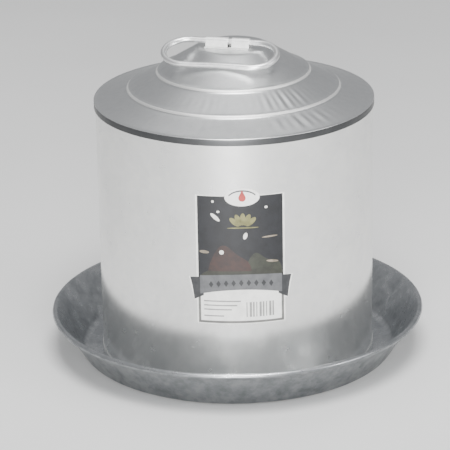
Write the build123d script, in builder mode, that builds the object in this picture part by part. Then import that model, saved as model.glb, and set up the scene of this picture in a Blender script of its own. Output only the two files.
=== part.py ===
from build123d import *
from math import cos, degrees, radians, sin
import os

# Double-wall galvanised poultry fount. Millimetres, +Z up, the front towards -Y.
# The origin is the centre of the pan's underside, on the surface it stands on.

# ---------------------------------------------------------------- driving dimensions
SHEET = 0.6                 # galvanised sheet thickness
NEST_GAP = 0.1              # clearance between pieces of one body that nest
SLIDE_GAP = 0.4             # clearance under the shell, which comes down on the pan

SHELL_R = 117.0             # outer radius of the outer shell
SHELL_WALL_TOP = 224.4      # top edge of the shell's wall, inside the lid's seam
TANK_INNER_R = 111.0        # inner radius of the inner tank: two gallons at 196 mm deep
TANK_TOP = 203.0            # top edge of the inner tank, on its rolled bead
PAN_BASE_R = 133.5          # radius of the pan's floor, to the corner of the flared wall
PAN_RIM_R = 160.6           # outer radius of the pan's rolled rim
PAN_RIM_TOP = 38.6          # height of the pan's rolled rim
HANDLE_YAW = -15.0          # degrees that the handle is turned about the vertical axis

# ---------------------------------------------------------------- derived sizes
HALF = SHEET / 2
SHELL_INNER_R = SHELL_R - SHEET
TANK_OUTER_R = TANK_INNER_R + SHEET
FLOOR_TOP = SHEET           # upper face of the pan's floor
SHELL_FOOT = FLOOR_TOP + SLIDE_GAP

os.makedirs("parts", exist_ok=True)


def around(angle):
    """Direction, in plan, that lies the given degrees round from +X."""
    return (cos(radians(angle)), sin(radians(angle)))


def radial_plane(angle, radius, height):
    """Plane on the wall at an angle: x runs round the wall, y up and z outwards."""
    x, y = around(angle)
    return Plane(origin=(radius * x, radius * y, height), x_dir=(-y, x, 0), z_dir=(x, y, 0))


def save(piece, name):
    """Label a finished piece and write it to its own file."""
    piece.part.label = name
    export_step(piece.part, f"parts/{name}.step")


# ---------------------------------------------------------------- pan
PANEL_R = 96.0              # raised middle panel of the pan's floor
PANEL_RISE = 3.5
PANEL_RAMP = 4.0            # width of the slope round the panel
CURL_R = 2.2                # middle radius of the rolled rim
CURL_TURN = -300            # degrees that the rim is rolled, outwards and down
RIM_WIRE_R = 1.8            # wire inside the rolled rim
PANEL_BEND_R = 2.0
PAN_CORNER_R = 7.0

curl_centre = (PAN_RIM_R - CURL_R - HALF, PAN_RIM_TOP - CURL_R - HALF)
wall_top = (curl_centre[0] - 0.84 * CURL_R, curl_centre[1] + 0.54 * CURL_R)

with BuildPart() as pan:
    with BuildSketch(Plane.XZ):
        with BuildLine():
            floor_and_wall = FilletPolyline(
                (0, PANEL_RISE + HALF),
                (PANEL_R, PANEL_RISE + HALF),
                (PANEL_R + PANEL_RAMP, HALF),
                (PAN_BASE_R, HALF),
                wall_top,
                radius=[PANEL_BEND_R, PANEL_BEND_R, PAN_CORNER_R],
            )
            JernArc(floor_and_wall @ 1, floor_and_wall % 1, CURL_R, CURL_TURN)
            offset(amount=HALF, side=Side.BOTH, kind=Kind.ARC)
        make_face()
    revolve(axis=Axis.Z)
save(pan, "pan")

with BuildPart() as pan_rim_wire:
    with BuildSketch(Plane.XZ):
        with Locations(curl_centre):
            Circle(RIM_WIRE_R)
    revolve(axis=Axis.Z)
save(pan_rim_wire, "pan_rim_wire")

# ---------------------------------------------------------------- inner tank
BEAD_R = 1.6                # middle radius of the rolled bead on the tank's top edge
TANK_SEAM_ANGLE = 215       # degrees round from +X to the tank's side seam
SEAM_LAP = 6.0              # width of the lapped side seams
SEAM_SOLDER = 0.4           # thickness of the solder run over a side seam
PORT_R = 4.0                # hole that lets the water out of the tank
PORT_HEIGHT = 11.0
VALVE_ANGLE = 90            # the valve is at the back

with BuildPart() as tank_wall:
    with BuildSketch(Plane.XZ):
        with BuildLine():
            wall_line = Line(
                (TANK_INNER_R + HALF, FLOOR_TOP + HALF),
                (TANK_INNER_R + HALF, TANK_TOP - BEAD_R - HALF),
            )
            JernArc(wall_line @ 1, wall_line % 1, BEAD_R, CURL_TURN)
            offset(amount=HALF, side=Side.BOTH, kind=Kind.ARC)
        make_face()
    revolve(axis=Axis.Z)
    with BuildSketch(radial_plane(VALVE_ANGLE, TANK_INNER_R - NEST_GAP, PORT_HEIGHT)):
        Circle(PORT_R)
    extrude(amount=SHEET + 2 * NEST_GAP, mode=Mode.SUBTRACT)
save(tank_wall, "tank_wall")

TANK_FLOOR = PANEL_RISE + SHEET         # underside of the tank's bottom, on the panel
FLANGE_TOP = TANK_FLOOR + 14.0
FLANGE_BEND_R = 2.0
PORT_CUT = 2.0              # depth of the port's cut through the flange

with BuildPart() as tank_bottom:
    with BuildSketch(Plane.XZ):
        with BuildLine():
            FilletPolyline(
                (0, TANK_FLOOR + HALF),
                (TANK_INNER_R - NEST_GAP - HALF, TANK_FLOOR + HALF),
                (TANK_INNER_R - NEST_GAP - HALF, FLANGE_TOP),
                radius=FLANGE_BEND_R,
            )
            offset(amount=HALF, side=Side.BOTH, kind=Kind.ARC)
        make_face()
    revolve(axis=Axis.Z)
    with BuildSketch(radial_plane(VALVE_ANGLE, TANK_INNER_R - PORT_CUT, PORT_HEIGHT)):
        Circle(PORT_R + NEST_GAP)
    extrude(amount=PORT_CUT, mode=Mode.SUBTRACT)
save(tank_bottom, "tank_bottom")

SOLDER_WIDTH = 2.2          # fillet of solder round the foot of the tank
with BuildPart() as foot_solder:
    with BuildSketch(Plane.XZ):
        Polygon(
            (TANK_OUTER_R, FLOOR_TOP),
            (TANK_OUTER_R + SOLDER_WIDTH, FLOOR_TOP),
            (TANK_OUTER_R, FLOOR_TOP + SOLDER_WIDTH),
            align=None,
        )
    revolve(axis=Axis.Z)
save(foot_solder, "foot_solder")


def turned_strip(angle, radius, bottom, top):
    """Thin strip of solder that runs up a side seam, following the wall's curve."""
    with BuildPart() as strip:
        with BuildSketch(Plane.XZ.rotated((0, 0, angle))):
            with Locations((radius, bottom)):
                Rectangle(SEAM_SOLDER, top - bottom, align=(Align.MIN, Align.MIN))
        revolve(axis=Axis.Z, revolution_arc=degrees(SEAM_LAP / radius))
    return strip


tank_seam_solder = turned_strip(
    TANK_SEAM_ANGLE,
    TANK_OUTER_R,
    FLOOR_TOP + SOLDER_WIDTH,
    TANK_TOP - 3 * BEAD_R,
)
save(tank_seam_solder, "tank_seam_solder")

# ---------------------------------------------------------------- lock pins
PIN_ANGLES = (30, 150, 270)
PIN_HEIGHT = 12.0
PIN_R = 2.5
PIN_HEAD_R = 4.0
PIN_HEAD_GAP = 0.6          # from the shell's hem to the underside of the pin's head
PIN_HEAD = 1.2
HEM_R = SHELL_R + SHEET     # outer radius of the folded hem at the shell's foot

with BuildPart() as lock_pins:
    for angle in PIN_ANGLES:
        with BuildSketch(radial_plane(angle, TANK_OUTER_R, PIN_HEIGHT)):
            Circle(PIN_R)
        extrude(amount=HEM_R + PIN_HEAD_GAP + PIN_HEAD - TANK_OUTER_R)
        with BuildSketch(radial_plane(angle, HEM_R + PIN_HEAD_GAP, PIN_HEIGHT)):
            Circle(PIN_HEAD_R)
        extrude(amount=PIN_HEAD)
save(lock_pins, "lock_pins")

# ---------------------------------------------------------------- valve, at the back
# The pad closes on the seat as the shell comes off. At rest the shell's wall holds the
# lever's upper arm in, which swings the pad away from the seat.
SEAT_BORE_R = 3.0
SEAT_REACH = 1.2                        # how far the seat stands out of the tank
SEAT_END_R = TANK_OUTER_R + SEAT_REACH  # radius at which the pad meets the seat
SEAT_FLANGE_R = 5.5
SEAT_FLANGE = 0.8
BRACKET_HALF = 8.8                      # half width of the bracket, over its ears
BRACKET_FOOT = 5.0
BRACKET_TOP = 26.0
BRACKET_REACH = 8.5                     # how far the ears stand out
BRACKET_R = TANK_OUTER_R + NEST_GAP
PIVOT_R = 117.5                         # distance of the pivot from the can's axis
PIVOT_HEIGHT = 20.0
VALVE_PIN_R = 1.0
VALVE_RUNNING_GAP = 0.05
LEVER_HALF = 6.0
LEVER_SHEET = 0.8
LEVER_OPEN = 8.0                        # degrees between the open and the closed lever
LEVER_KNEE = (-1.74, 6.3)               # out from the pivot and up, with the lever closed
LEVER_TIP = (-0.35, 16.2)
HUB_R = 2.0
PAD_R = 4.5
PAD = 2.0

with BuildPart() as valve_seat:
    with BuildSketch(radial_plane(VALVE_ANGLE, TANK_INNER_R - SHEET, PORT_HEIGHT)):
        Circle(PORT_R - VALVE_RUNNING_GAP)
    extrude(amount=SEAT_END_R - TANK_INNER_R + SHEET)
    with BuildSketch(radial_plane(VALVE_ANGLE, TANK_OUTER_R, PORT_HEIGHT)):
        Circle(SEAT_FLANGE_R)
    extrude(amount=SEAT_FLANGE)
    with BuildSketch(radial_plane(VALVE_ANGLE, TANK_INNER_R - 2 * SHEET, PORT_HEIGHT)):
        Circle(SEAT_BORE_R)
    extrude(amount=SEAT_END_R - TANK_INNER_R + 3 * SHEET, mode=Mode.SUBTRACT)
save(valve_seat, "valve_seat")

bracket_plane = Plane.XY.offset(BRACKET_FOOT)
with BuildPart() as valve_bracket:
    with BuildSketch(bracket_plane):
        with Locations((0, BRACKET_R)):
            Rectangle(2 * BRACKET_HALF, BRACKET_REACH, align=(Align.CENTER, Align.MIN))
        with Locations((0, BRACKET_R + SHEET)):
            Rectangle(
                2 * (BRACKET_HALF - SHEET),
                BRACKET_REACH,
                align=(Align.CENTER, Align.MIN),
                mode=Mode.SUBTRACT,
            )
    extrude(amount=BRACKET_TOP - BRACKET_FOOT)
    with BuildSketch(radial_plane(VALVE_ANGLE, BRACKET_R, PORT_HEIGHT)):
        Circle(SEAT_FLANGE_R + NEST_GAP)
    extrude(amount=SHEET, mode=Mode.SUBTRACT)
    pivot_plane = Plane(origin=(-BRACKET_HALF, PIVOT_R, PIVOT_HEIGHT), z_dir=(1, 0, 0))
    with BuildSketch(pivot_plane):
        Circle(VALVE_PIN_R + VALVE_RUNNING_GAP)
    extrude(amount=2 * BRACKET_HALF, mode=Mode.SUBTRACT)
save(valve_bracket, "valve_bracket")

RIVET_R = 1.2
RIVET_HEAD = 0.6
with BuildPart() as bracket_rivets:
    rivet_plane = radial_plane(VALVE_ANGLE, BRACKET_R + SHEET, (BRACKET_TOP + BRACKET_FOOT) / 2)
    with BuildSketch(rivet_plane.offset(NEST_GAP / 2)):
        with GridLocations(2 * LEVER_HALF, BRACKET_TOP - BRACKET_FOOT - 3 * RIVET_R, 2, 2):
            Circle(RIVET_R)
    extrude(amount=RIVET_HEAD)
save(bracket_rivets, "bracket_rivets")

with BuildPart() as valve_pin:
    with BuildSketch(Plane(origin=(-BRACKET_HALF - SHEET, PIVOT_R, PIVOT_HEIGHT), z_dir=(1, 0, 0))):
        Circle(VALVE_PIN_R)
    extrude(amount=2 * (BRACKET_HALF + SHEET))
save(valve_pin, "valve_pin")


def lever_plane(offset_along_pin):
    """Side view of the lever about its pivot: x outwards and y up when it is closed."""
    tilt = radians(LEVER_OPEN)
    return Plane(
        origin=(offset_along_pin, PIVOT_R, PIVOT_HEIGHT),
        x_dir=(0, cos(tilt), sin(tilt)),
        z_dir=(1, 0, 0),
    )


PAD_DROP = PIVOT_HEIGHT - PORT_HEIGHT
PAD_BACK = SEAT_END_R + VALVE_RUNNING_GAP + PAD - PIVOT_R
LOWER_ARM = PAD_BACK + LEVER_SHEET / 2

with BuildPart() as valve_lever:
    with BuildSketch(lever_plane(-LEVER_HALF)):
        with BuildLine():
            Polyline(
                (LOWER_ARM, -PAD_DROP - PAD_R),
                (LOWER_ARM, -HUB_R),
                (0, 0),
                LEVER_KNEE,
                LEVER_TIP,
            )
            offset(amount=LEVER_SHEET / 2, side=Side.BOTH, kind=Kind.ARC)
        make_face()
        Circle(HUB_R)
        Circle(VALVE_PIN_R + VALVE_RUNNING_GAP, mode=Mode.SUBTRACT)
    extrude(amount=2 * LEVER_HALF)
save(valve_lever, "valve_lever")

with BuildPart() as valve_pad:
    side = lever_plane(0)
    face_centre = side.from_local_coords((PAD_BACK, -PAD_DROP))
    with BuildSketch(Plane(origin=face_centre, x_dir=(1, 0, 0), z_dir=-side.x_dir)):
        Circle(PAD_R)
    extrude(amount=PAD)
save(valve_pad, "valve_pad")

SPRING_SHEET = 0.4
SPRING_HALF = 4.0
SPRING_TOP = 54.0
SPRING_BEND = 44.0
SPRING_TIP = (114.2, 35.0)  # distance from the can's axis and height
with BuildPart() as valve_spring:
    with BuildSketch(Plane.YZ.offset(-SPRING_HALF)):
        with BuildLine():
            foot = TANK_OUTER_R + NEST_GAP + SPRING_SHEET / 2
            Polyline((foot, SPRING_TOP), (foot, SPRING_BEND), SPRING_TIP)
            offset(amount=SPRING_SHEET / 2, side=Side.BOTH, kind=Kind.ARC)
        make_face()
    extrude(amount=2 * SPRING_HALF)
save(valve_spring, "valve_spring")

with BuildPart() as spring_rivets:
    spring_face = TANK_OUTER_R + NEST_GAP + SPRING_SHEET + NEST_GAP / 2
    with BuildSketch(radial_plane(VALVE_ANGLE, spring_face, (SPRING_TOP + SPRING_BEND) / 2)):
        with GridLocations(0, SPRING_HALF, 1, 2):
            Circle(RIVET_R)
    extrude(amount=RIVET_HEAD)
save(spring_rivets, "spring_rivets")

# ---------------------------------------------------------------- outer shell
HEM_HEIGHT = 5.0
SLOT_WIDTH = 7.5            # bayonet slots for the lock pins
SLOT_RUN = 16.0             # how far each slot runs round the wall
NOTCH_WIDTH = 24.0          # opening in the foot of the shell, over the valve
NOTCH_TOP = 28.0

with BuildPart() as shell_wall:
    with BuildSketch(Plane.XZ):
        with Locations((SHELL_INNER_R, SHELL_FOOT)):
            Rectangle(SHEET, SHELL_WALL_TOP - SHELL_FOOT, align=(Align.MIN, Align.MIN))
        with Locations((SHELL_R, SHELL_FOOT)):
            Rectangle(SHEET, HEM_HEIGHT, align=(Align.MIN, Align.MIN))
    revolve(axis=Axis.Z)
    for angle in PIN_ANGLES:
        with BuildSketch(radial_plane(angle, SHELL_INNER_R - 2 * SHEET, PIN_HEIGHT)):
            SlotOverall(SLOT_WIDTH + SLOT_RUN, SLOT_WIDTH)
            with Locations((0, -PIN_HEIGHT / 2)):
                Rectangle(SLOT_WIDTH, PIN_HEIGHT)
            with Locations((-SLOT_WIDTH / 2, 0)):
                Rectangle(
                    SLOT_RUN,
                    2 * SLOT_WIDTH,
                    align=(Align.MAX, Align.CENTER),
                    mode=Mode.SUBTRACT,
                )
        extrude(amount=6 * SHEET, mode=Mode.SUBTRACT)
    with BuildSketch(radial_plane(VALVE_ANGLE, SHELL_INNER_R - 2 * SHEET, 0)):
        with Locations((0, NOTCH_TOP / 2)):
            RectangleRounded(NOTCH_WIDTH, NOTCH_TOP, SLOT_WIDTH / 2)
        Rectangle(NOTCH_WIDTH, NOTCH_TOP)
    extrude(amount=6 * SHEET, mode=Mode.SUBTRACT)
save(shell_wall, "shell_wall")

# ---------------------------------------------------------------- lid, seamed to the shell
PLATEAU_R = 29.5
PLATEAU_TOP = 269.7
RINGS = ((64.4, 249.7), (89.3, 235.9))  # radius and height of the pressed shoulders
SHOULDER_FLAT = 3.0
SHOULDER_DROP = 2.4
BAND_R = 118.2              # outer radius of the seam band
BAND_TOP = 225.6
BAND_FOOT = 219.8
BAND_INSET = 2.6            # width of the lid's flat edge, over the shell's wall

lid_points = [(0, PLATEAU_TOP - HALF), (PLATEAU_R, PLATEAU_TOP - HALF)]
for ring_r, ring_top in RINGS:
    lid_points.append((ring_r - SHOULDER_FLAT, ring_top - HALF + SHOULDER_FLAT / 4))
    lid_points.append((ring_r, ring_top - HALF))
    lid_points.append((ring_r + SHOULDER_DROP / 2, ring_top - HALF - SHOULDER_DROP))
lid_points.append((BAND_R - HALF - BAND_INSET, BAND_TOP - HALF))
lid_points.append((BAND_R - HALF, BAND_TOP - HALF))
lid_points.append((BAND_R - HALF, BAND_FOOT + HALF))

with BuildPart() as shell_lid:
    with BuildSketch(Plane.XZ):
        with BuildLine():
            FilletPolyline(*lid_points, radius=[3.0, 1.2, 1.2, 1.0, 1.2, 1.2, 1.0, 1.0, 0.8])
            offset(amount=HALF, side=Side.BOTH, kind=Kind.ARC)
        make_face()
        with Locations((SHELL_R, BAND_FOOT + HALF)):
            Rectangle(
                BAND_R - HALF - SHELL_R,
                SHELL_WALL_TOP - BAND_FOOT - HALF,
                align=(Align.MIN, Align.MIN),
            )
    revolve(axis=Axis.Z)
save(shell_lid, "shell_lid")

with BuildPart() as seam_sealant:
    with BuildSketch(Plane.XZ):
        with Locations((SHELL_INNER_R, SHELL_WALL_TOP)):
            Rectangle(SHEET, BAND_TOP - SHEET - SHELL_WALL_TOP, align=(Align.MIN, Align.MIN))
    revolve(axis=Axis.Z)
save(seam_sealant, "seam_sealant")

SHELL_SEAM_ANGLE = 60       # the side seam is turned to the back
shell_seam_solder = turned_strip(
    SHELL_SEAM_ANGLE,
    SHELL_R,
    SHELL_FOOT + HEM_HEIGHT,
    BAND_FOOT,
)
save(shell_seam_solder, "shell_seam_solder")

# ---------------------------------------------------------------- label
LABEL_ANGLE = 271.7         # round from +X, so a little to the right of the front
LABEL_WIDTH = 72.5
LABEL_FOOT = 65.5
LABEL_TOP = 177.5
LABEL_GAP = 0.03
LABEL = 0.2
RIBBON_WIDTH = 85.0         # the printed banner stands out past the label's sides
RIBBON_FOOT = 86.0
RIBBON_TOP = 106.0
RIBBON_NOTCH = 4.0
BADGE_X = 1.7
BADGE_TOP = 183.8
BADGE_RADII = (14.5, 7.9)

with BuildPart() as label:
    with BuildSketch(Plane.XY.offset(LABEL_FOOT)):
        Circle(SHELL_R + LABEL_GAP + LABEL)
        Circle(SHELL_R + LABEL_GAP, mode=Mode.SUBTRACT)
    extrude(amount=BADGE_TOP - LABEL_FOOT)
    with BuildSketch(radial_plane(LABEL_ANGLE, SHELL_R / 2, 0)):
        with Locations((0, LABEL_FOOT)):
            Rectangle(LABEL_WIDTH, LABEL_TOP - LABEL_FOOT, align=(Align.CENTER, Align.MIN))
        with BuildLine():
            Polyline(
                (-RIBBON_WIDTH / 2, RIBBON_TOP),
                (RIBBON_WIDTH / 2, RIBBON_TOP),
                (RIBBON_WIDTH / 2 - RIBBON_NOTCH, RIBBON_FOOT),
                (RIBBON_NOTCH - RIBBON_WIDTH / 2, RIBBON_FOOT),
                close=True,
            )
        make_face()
        with Locations((BADGE_X, BADGE_TOP - BADGE_RADII[1])):
            Ellipse(*BADGE_RADII)
    extrude(amount=SHELL_R, mode=Mode.INTERSECT)
save(label, "label")

# ---------------------------------------------------------------- hinge strap and handle
HINGE = (-4.0, -6.5, 274.8) # middle of the strap, on the handle's pivot
WIRE_R = 2.5
WIRE_RUNNING_GAP = 0.06
STRAP_SHEET = 0.9
STRAP_LEFT = -18.7
STRAP_RIGHT = 18.7
STRAP_SLIT = (0.3, 3.7)     # the slit that parts the two saddles
STRAP_FLANGE = 5.0
STRAP_BEND_R = 1.0
BAIL_WIDTH = 96.0           # over the wire's middle line
BAIL_DEPTH = 38.5
BAIL_SHIFT = -2.2           # the loop has slid a little to the left in the strap
BAIL_DROOP = 15.5           # degrees that the resting loop slopes down to the front
WIRE_BUTT = 0.4             # gap between the wire's butted ends, inside the strap

yaw = radians(HANDLE_YAW)
hinge_axis = Vector(cos(yaw), sin(yaw), 0)
hinge_back = Vector(-sin(yaw), cos(yaw), 0)
saddle_r = WIRE_R + WIRE_RUNNING_GAP + STRAP_SHEET / 2
strap_foot = PLATEAU_TOP + STRAP_SHEET / 2 - HINGE[2]
strap_plane = Plane(origin=HINGE, x_dir=hinge_back, z_dir=hinge_axis)

with BuildPart() as hinge_strap:
    with BuildSketch(strap_plane.offset(STRAP_LEFT)):
        with BuildLine():
            front_leg = FilletPolyline(
                (-saddle_r - STRAP_FLANGE, strap_foot),
                (-saddle_r, strap_foot),
                (-saddle_r, 0),
                radius=STRAP_BEND_R,
            )
            over_wire = JernArc(front_leg @ 1, front_leg % 1, saddle_r, -180)
            FilletPolyline(
                over_wire @ 1,
                (saddle_r, strap_foot),
                (saddle_r + STRAP_FLANGE, strap_foot),
                radius=STRAP_BEND_R,
            )
            offset(amount=STRAP_SHEET / 2, side=Side.BOTH, kind=Kind.ARC)
        make_face()
    extrude(amount=STRAP_RIGHT - STRAP_LEFT)
    with BuildSketch(strap_plane.offset(STRAP_SLIT[0])):
        with Locations((0, strap_foot + STRAP_SHEET)):
            Rectangle(4 * saddle_r, 4 * saddle_r, align=(Align.CENTER, Align.MIN))
    extrude(amount=STRAP_SLIT[1] - STRAP_SLIT[0], mode=Mode.SUBTRACT)
save(hinge_strap, "hinge_strap")

droop = radians(BAIL_DROOP)
bail_normal = Vector(0, 0, cos(droop)) - hinge_back * sin(droop)
bail_middle = Vector(*HINGE) + hinge_axis * BAIL_SHIFT
bail_plane = Plane(origin=bail_middle, x_dir=hinge_axis, z_dir=bail_normal)
bail_end_r = BAIL_DEPTH / 2
bail_half = BAIL_WIDTH / 2 - bail_end_r

with BuildPart() as handle_bail:
    with BuildLine(bail_plane) as loop:
        right_back = Line((WIRE_BUTT / 2, 0), (bail_half, 0))
        right_end = CenterArc((bail_half, -bail_end_r), bail_end_r, 90, -180)
        front_run = Line((bail_half, -BAIL_DEPTH), (-bail_half, -BAIL_DEPTH))
        left_end = CenterArc((-bail_half, -bail_end_r), bail_end_r, 270, -180)
        left_back = Line((-bail_half, 0), (-WIRE_BUTT / 2, 0))
    with BuildSketch(Plane(origin=right_back @ 0, z_dir=hinge_axis)):
        Circle(WIRE_R)
    sweep(path=loop.line)
save(handle_bail, "handle_bail")
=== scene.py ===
"""Double-wall galvanised poultry fount: visible surfaces, printed label, light and camera."""

import logging
import math
from dataclasses import dataclass
from enum import Enum

import bmesh
import bpy
from mathutils import Matrix, Vector


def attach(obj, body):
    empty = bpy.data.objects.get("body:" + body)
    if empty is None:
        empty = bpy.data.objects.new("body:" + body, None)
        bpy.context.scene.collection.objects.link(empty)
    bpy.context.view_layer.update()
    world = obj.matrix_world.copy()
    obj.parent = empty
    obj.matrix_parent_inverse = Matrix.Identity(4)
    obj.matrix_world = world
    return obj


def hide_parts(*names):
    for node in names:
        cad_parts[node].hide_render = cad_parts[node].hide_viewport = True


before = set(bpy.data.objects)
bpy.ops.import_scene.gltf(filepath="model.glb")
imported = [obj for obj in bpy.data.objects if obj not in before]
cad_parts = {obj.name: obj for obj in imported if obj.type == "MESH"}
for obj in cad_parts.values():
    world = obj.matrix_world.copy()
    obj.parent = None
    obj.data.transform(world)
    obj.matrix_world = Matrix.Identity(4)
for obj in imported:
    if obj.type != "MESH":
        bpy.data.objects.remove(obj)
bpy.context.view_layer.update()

log = logging.getLogger("fount")

MM = 0.001                  # the sizes below are millimetres; the meshes are metres
FULL_TURN = 2 * math.pi
MERGE_MM = 1e-3             # points closer than this are one point
CUT_MERGE_MM = 2e-2         # the same, along the edges of a cut
SECOND_FINISH = 1           # a piece's first finish is number 0
THIRD_FINISH = 2


class Body(Enum):
    """The CAD bodies that the drawn pieces ride on. The valve keeps its CAD shapes."""

    BASE = "base"
    SHELL = "shell"
    HANDLE = "handle"


class Slot(Enum):
    """The record's material slots that the drawn pieces use."""

    SHELL = "galvanised_shell"
    LID = "galvanised_lid"
    PAN = "galvanised_pan"
    WIRE = "zinc_wire"
    LABEL = "printed_label"


# ------------------------------------------------------------------ materials


def linear(hex_code: str) -> tuple[float, float, float, float]:
    """Turn an sRGB hex colour into a linear one.

    Args:
        hex_code: six hex digits, with or without a leading hash.

    Returns:
        Linear red, green, blue and an alpha of 1.
    """
    digits = hex_code.lstrip("#")
    channels = [int(digits[i:i + 2], 16) / 255 for i in (0, 2, 4)]
    turned = [c / 12.92 if c <= 0.04045 else ((c + 0.055) / 1.055) ** 2.4 for c in channels]
    return (*turned, 1.0)


def add_node(
    tree: bpy.types.NodeTree, kind: str, inputs: dict | None = None, **settings
) -> bpy.types.Node:
    """Add a shader node with its settings, values and links.

    Args:
        tree: the material's node tree.
        kind: the node's type name.
        inputs: input name or number to a value, or to the socket that feeds it.
        **settings: properties of the node itself.

    Returns:
        The new node.
    """
    node = tree.nodes.new(kind)
    for name, value in settings.items():
        setattr(node, name, value)
    for key, value in (inputs or {}).items():
        if isinstance(value, bpy.types.NodeSocket):
            tree.links.new(value, node.inputs[key])
        else:
            node.inputs[key].default_value = value
    return node


def per_mm(size_mm: float) -> float:
    """Texture scale that gives a pattern the stated size in millimetres."""
    return 1 / (size_mm * MM)


class Recipe:
    """A material's node tree while it is being put together."""

    def __init__(self, name: str) -> None:
        """Start an empty tree with Object coordinates."""
        self.material = bpy.data.materials.new(name)
        self.material.use_nodes = True
        self.tree = self.material.node_tree
        self.tree.nodes.clear()
        self.place = add_node(self.tree, "ShaderNodeTexCoord").outputs["Object"]

    def noise(
        self, size_mm: float, detail: float = 2.0, roughness: float = 0.5
    ) -> bpy.types.NodeSocket:
        """Add a noise of the stated size and return its value."""
        inputs = {
            "Vector": self.place, "Scale": per_mm(size_mm), "Detail": detail,
            "Roughness": roughness,
        }
        return add_node(self.tree, "ShaderNodeTexNoise", inputs).outputs["Fac"]

    def spread(
        self,
        value: bpy.types.NodeSocket,
        start: tuple[float, float] = (0.0, 1.0),
        end: tuple[float, float] = (0.0, 1.0),
    ) -> bpy.types.NodeSocket:
        """Carry a value from the start range to the end range."""
        inputs = {
            "Value": value, "From Min": start[0], "From Max": start[1], "To Min": end[0],
            "To Max": end[1],
        }
        return add_node(self.tree, "ShaderNodeMapRange", inputs).outputs[0]

    def relief(
        self, height: bpy.types.NodeSocket, depth: float, rise_mm: float
    ) -> bpy.types.NodeSocket:
        """Turn a height into a normal that is bent by it."""
        inputs = {"Height": height, "Strength": depth, "Distance": rise_mm * MM}
        return add_node(self.tree, "ShaderNodeBump", inputs).outputs[0]

    def finish(
        self,
        share: bpy.types.NodeSocket,
        colours: tuple[str, str],
        roughness: bpy.types.NodeSocket | float,
        normal: bpy.types.NodeSocket,
        metallic: float,
    ) -> bpy.types.Material:
        """Close the tree.

        Args:
            share: how much of the second colour shows.
            colours: the two hex colours.
            roughness: a value, or what feeds it.
            normal: the relief.
            metallic: 1 for metal, 0 for the rest.

        Returns:
            The material.
        """
        colour = add_node(
            self.tree, "ShaderNodeMix",
            {0: share, 6: linear(colours[0]), 7: linear(colours[1])}, data_type="RGBA",
        )
        shader = add_node(
            self.tree, "ShaderNodeBsdfPrincipled",
            {
                "Base Color": colour.outputs[2],
                "Metallic": metallic,
                "Roughness": roughness,
                "Normal": normal,
            },
        )
        add_node(self.tree, "ShaderNodeOutputMaterial", {"Surface": shader.outputs[0]})
        return self.material


@dataclass(frozen=True)
class GalvanisedSheet:
    """Hot-dipped zinc on steel: satin metal with a faint frost of crystals and grey mottling.

    The fine grain is drawn coarser than real zinc's, so that it shows.
    """

    name: str
    light: str
    dark: str
    roughness: float
    spangle_mm: float = 5.0
    mottle_mm: float = 28.0
    grain_mm: float = 0.9
    grain_depth: float = 0.12
    grain_rise_mm: float = 0.1
    wear: float = 0.5
    frost: float = 0.16
    cloud: tuple[float, float] = (0.35, 0.65)
    duller: float = 0.07
    shinier: float = 0.05

    def material(self) -> bpy.types.Material:
        """Build the node material."""
        recipe = Recipe(self.name)
        spangle = add_node(
            recipe.tree, "ShaderNodeTexVoronoi",
            {"Vector": recipe.place, "Scale": per_mm(self.spangle_mm)},
        )
        mottle = recipe.noise(self.mottle_mm, 6.0, 0.65)
        grain = recipe.noise(self.grain_mm, 3.0, 0.7)
        crystals = recipe.spread(spangle.outputs["Color"], end=(-self.frost, self.frost))
        tone = add_node(
            recipe.tree, "ShaderNodeMath",
            {0: recipe.spread(mottle, start=self.cloud), 1: self.wear}, operation="MULTIPLY",
        )
        mixed = add_node(
            recipe.tree, "ShaderNodeMath", {0: tone.outputs[0], 1: crystals}, operation="ADD"
        ).outputs[0]
        satin = recipe.spread(
            mixed, end=(self.roughness - self.shinier, self.roughness + self.duller)
        )
        relief = recipe.relief(grain, self.grain_depth, self.grain_rise_mm)
        return recipe.finish(mixed, (self.light, self.dark), satin, relief, 1.0)


@dataclass(frozen=True)
class PlainMetal:
    """Drawn, cast or rolled metal with faint stains: plated wire, solder, brass, spring steel."""

    name: str
    colour: str
    stain: str
    roughness: float
    stain_mm: float = 6.0
    stained: tuple[float, float] = (0.42, 0.72)
    pit_mm: float = 0.6
    pit_depth: float = 0.1
    pit_rise_mm: float = 0.1
    duller: float = 0.1
    shinier: float = 0.06

    def material(self) -> bpy.types.Material:
        """Build the node material."""
        recipe = Recipe(self.name)
        stains = recipe.noise(self.stain_mm, 5.0, 0.6)
        polish = recipe.spread(
            stains, end=(self.roughness - self.shinier, self.roughness + self.duller)
        )
        share = recipe.spread(stains, start=self.stained)
        relief = recipe.relief(recipe.noise(self.pit_mm), self.pit_depth, self.pit_rise_mm)
        return recipe.finish(share, (self.colour, self.stain), polish, relief, 1.0)


@dataclass(frozen=True)
class PrintedFilm:
    """Ink on a satin film label, or moulded rubber: a dielectric with slight uneven colour."""

    name: str
    colour: str
    shade: str
    roughness: float = 0.42
    patch_mm: float = 7.0
    patches: tuple[float, float] = (0.4, 0.65)
    grain_mm: float = 0.5
    grain_depth: float = 0.05
    grain_rise_mm: float = 0.05

    def material(self) -> bpy.types.Material:
        """Build the node material."""
        recipe = Recipe(self.name)
        share = recipe.spread(recipe.noise(self.patch_mm, 4.0, 0.6), start=self.patches)
        relief = recipe.relief(recipe.noise(self.grain_mm), self.grain_depth, self.grain_rise_mm)
        return recipe.finish(share, (self.colour, self.shade), self.roughness, relief, 0.0)


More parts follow.
